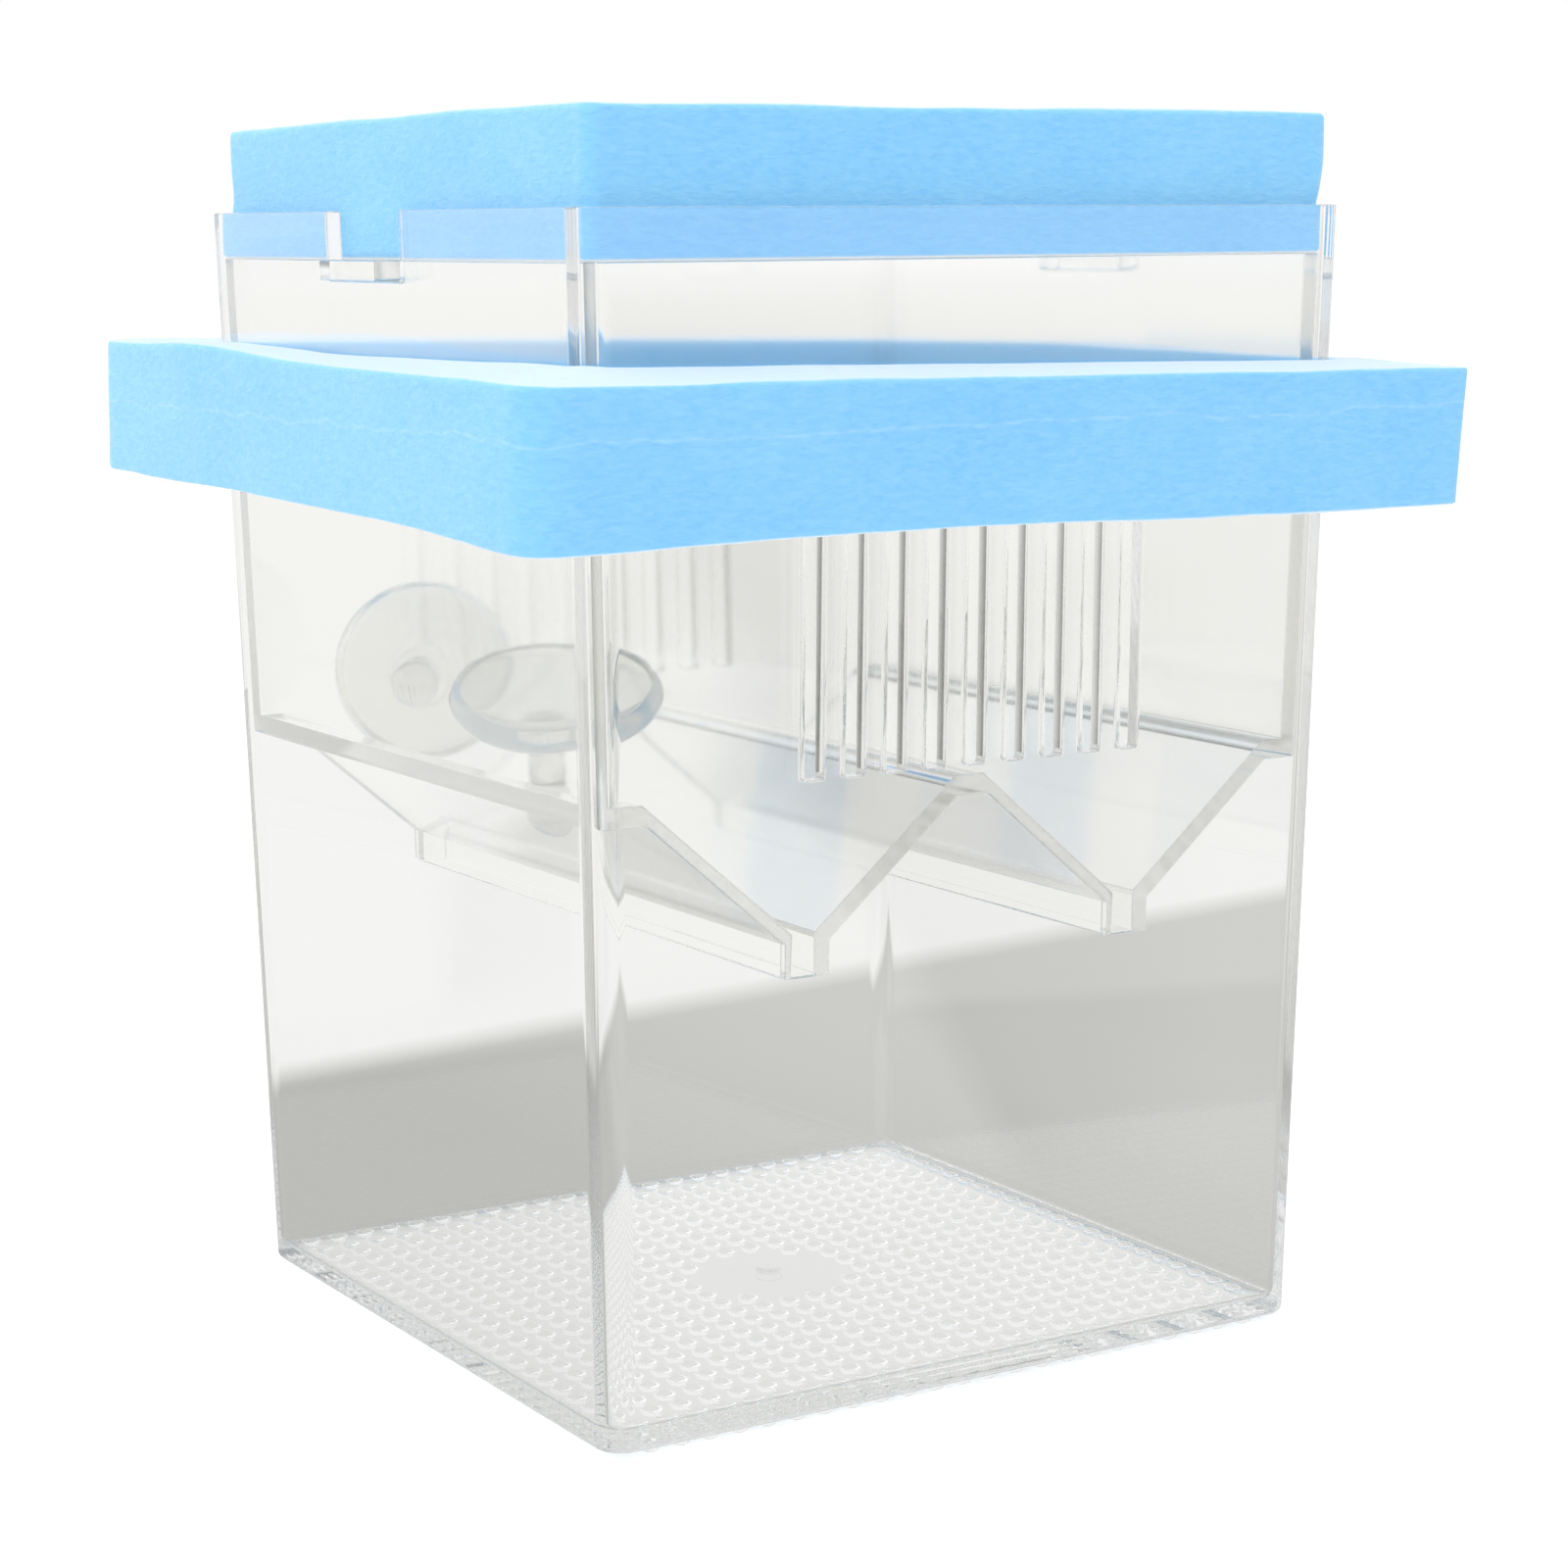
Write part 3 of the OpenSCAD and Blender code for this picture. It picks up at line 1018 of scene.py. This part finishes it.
# %% Shades behind the box, seen through plastic
reach_x = add_node(tree, "ShaderNodeSeparateXYZ", Vector=coords.outputs["Object"])
to_right = add_node(
    tree,
    "ShaderNodeMapRange",
    {"From Min": 10 * MM, "From Max": 90 * MM, "To Min": 0.0, "To Max": 1.0},
    Value=reach_x.outputs["X"],
)
close_by = add_node(
    tree,
    "ShaderNodeMix",
    {"data_type": "RGBA", 6: linear("#B9B9B5"), 7: linear("#C9C9C6")},
    _0=to_right.outputs["Result"],
)
# The floor seen through plastic is grey behind the box up to a soft edge, and pale beyond it.
grey_behind = add_node(
    tree,
    "ShaderNodeMix",
    {"data_type": "RGBA", 7: linear("#F6F6F4")},
    _0=edge.outputs["Result"],
    _6=close_by.outputs[2],
)

# %% The darker strip at the front right, by its bearing from the box
minus_y = add_node(
    tree,
    "ShaderNodeMath",
    {"operation": "MULTIPLY", 1: -1.0},
    _0=reach_x.outputs["Y"],
)
bearing = add_node(
    tree,
    "ShaderNodeMath",
    {"operation": "ARCTAN2"},
    _0=reach_x.outputs["X"],
    _1=minus_y.outputs["Value"],
)
corner_shade = add_node(tree, "ShaderNodeValToRGB", Fac=bearing.outputs["Value"])
stops = corner_shade.color_ramp.elements
stops[0].position, stops[0].color = 0.0, linear("#EFEFEC")
stops[1].position, stops[1].color = 0.95, linear("#E4E4E0")
DARK_STRIP = {0.43: "#EAEAE6", 0.475: "#6E6E6A", 0.56: "#A0A09C", 0.68: "#D8D8D4"}
for place_at, shade in DARK_STRIP.items():
    stops.new(place_at).color = linear(shade)

# %% Shades in front of the box, and a painted shadow under it
in_front = add_node(
    tree,
    "ShaderNodeMapRange",
    {"From Min": -0.14, "From Max": -0.1, "To Min": 1.0, "To Max": 0.0},
    Value=across.outputs["Value"],
)
far_out = add_node(
    tree,
    "ShaderNodeMapRange",
    {"From Min": -2.4, "From Max": -1.2, "To Min": 1.0, "To Max": 0.0},
    Value=across.outputs["Value"],
)
ahead = add_node(
    tree,
    "ShaderNodeMix",
    {"data_type": "RGBA", 7: linear("#FAFDFF")},
    _0=far_out.outputs["Result"],
    _6=corner_shade.outputs["Color"],
)
around = add_node(
    tree,
    "ShaderNodeMix",
    {"data_type": "RGBA"},
    _0=in_front.outputs["Result"],
    _6=grey_behind.outputs[2],
    _7=ahead.outputs[2],
)
# Under the box, the floor seen through plastic is a painted shadow of the box, #DDDEDA.
abs_x = add_node(tree, "ShaderNodeMath", {"operation": "ABSOLUTE"}, _0=reach_x.outputs["X"])
abs_y = add_node(tree, "ShaderNodeMath", {"operation": "ABSOLUTE"}, _0=reach_x.outputs["Y"])
more_y = add_node(
    tree,
    "ShaderNodeMath",
    {"operation": "ADD", 1: 2 * MM},
    _0=abs_y.outputs["Value"],
)
widest = add_node(
    tree,
    "ShaderNodeMath",
    {"operation": "MAXIMUM"},
    _0=abs_x.outputs["Value"],
    _1=more_y.outputs["Value"],
)
under = add_node(
    tree,
    "ShaderNodeMapRange",
    {"From Min": 45 * MM, "From Max": 49 * MM, "To Min": 1.0, "To Max": 0.0},
    Value=widest.outputs["Value"],
)
ground = add_node(
    tree,
    "ShaderNodeMix",
    {"data_type": "RGBA", 7: linear("#DDDEDA")},
    _0=under.outputs["Result"],
    _6=around.outputs[2],
)

# %% The plain floor, and which rays see the shades
plain = add_node(tree, "ShaderNodeBsdfDiffuse", {"Color": linear("#F2F2F2")})
glow = add_node(tree, "ShaderNodeEmission", {"Color": (1, 1, 1, 1), "Strength": 0.25})
lit = add_node(
    tree,
    "ShaderNodeAddShader",
    _0=plain.outputs["BSDF"],
    _1=glow.outputs["Emission"],
)
behind = add_node(tree, "ShaderNodeEmission", Color=ground.outputs[2])
through = add_node(
    tree,
    "ShaderNodeMath",
    {"operation": "MAXIMUM"},
    _0=ray.outputs["Is Transmission Ray"],
    _1=ray.outputs["Is Glossy Ray"],
)
bare = add_node(
    tree,
    "ShaderNodeMixShader",
    _0=ray.outputs["Is Camera Ray"],
    _1=plain.outputs["BSDF"],
    _2=lit.outputs["Shader"],
)
not_lighting = add_node(
    tree, "ShaderNodeMath", {"operation": "LESS_THAN", 1: 0.5}, _0=ray.outputs["Diffuse Depth"]
)
seen_through = add_node(
    tree,
    "ShaderNodeMath",
    {"operation": "MULTIPLY"},
    _0=through.outputs["Value"],
    _1=not_lighting.outputs["Value"],
)
either = add_node(
    tree,
    "ShaderNodeMixShader",
    _0=seen_through.outputs["Value"],
    _1=bare.outputs["Shader"],
    _2=behind.outputs["Emission"],
)
add_node(tree, "ShaderNodeOutputMaterial", Surface=either.outputs["Shader"])
floor.data.materials.append(paper)

# %% World
world = bpy.data.worlds.new("bright_room")
bpy.context.scene.world = world
world.use_nodes = True
tree = world.node_tree
tree.nodes.clear()
ray = add_node(tree, "ShaderNodeLightPath")
coords = add_node(tree, "ShaderNodeTexCoord")
toward = add_node(
    tree,
    "ShaderNodeVectorMath",
    {"operation": "DOT_PRODUCT", 1: (0.2, 0.98, 0)},
    _0=coords.outputs["Generated"],
)
depth = add_node(
    tree,
    "ShaderNodeMapRange",
    {"From Min": -0.6, "From Max": 0.3, "To Min": 0.95, "To Max": 1.0},
    Value=toward.outputs["Value"],
)
level = add_node(
    tree,
    "ShaderNodeMath",
    {"operation": "MAXIMUM"},
    _0=depth.outputs["Result"],
    _1=ray.outputs["Is Camera Ray"],
)
room = add_node(
    tree,
    "ShaderNodeBackground",
    {"Color": (1, 1, 1, 1)},
    Strength=level.outputs["Value"],
)
add_node(tree, "ShaderNodeOutputWorld", Surface=room.outputs["Background"])


# %% Lamps
def softbox(name, at, size, power):
    lamp = bpy.data.lights.new(name, "AREA")
    lamp.shape = "SQUARE"
    lamp.size = size
    lamp.energy = power
    holder = bpy.data.objects.new(name, lamp)
    bpy.context.scene.collection.objects.link(holder)
    holder.location = at
    holder.rotation_mode = "QUATERNION"
    holder.rotation_quaternion = (Vector((0, 0, 0.08)) - Vector(at)).to_track_quat("-Z", "Y")


softbox("softbox_left", (-1.3, -0.5, 1.1), 1.2, 4.2)
softbox("softbox_top", (-0.2, 0.2, 1.8), 1.2, 9)

# %% Camera
view = bpy.data.cameras.new("photo_camera")
view.lens = 79.5
view.sensor_width = 36
view.clip_start, view.clip_end = 0.01, 50
camera = bpy.data.objects.new("photo_camera", view)
bpy.context.scene.collection.objects.link(camera)
camera.location = Vector((-218.64, -358.82, 131.87)) * MM
aim = Vector((-0.1, -5.4, 65.0)) * MM
look = (aim - camera.location).to_track_quat("-Z", "Y").to_matrix()
roll = Matrix.Rotation(math.radians(-0.391), 3, "Z")
camera.rotation_euler = (look @ roll).to_euler()
bpy.context.scene.camera = camera

# %% Render settings that the look needs
scene = bpy.context.scene
scene.view_settings.view_transform = "Standard"
LONG_PATH = 300
scene.cycles.max_bounces = LONG_PATH
scene.cycles.transmission_bounces = LONG_PATH
scene.cycles.glossy_bounces = LONG_PATH
scene.cycles.diffuse_bounces = 3
scene.cycles.blur_glossy = 0
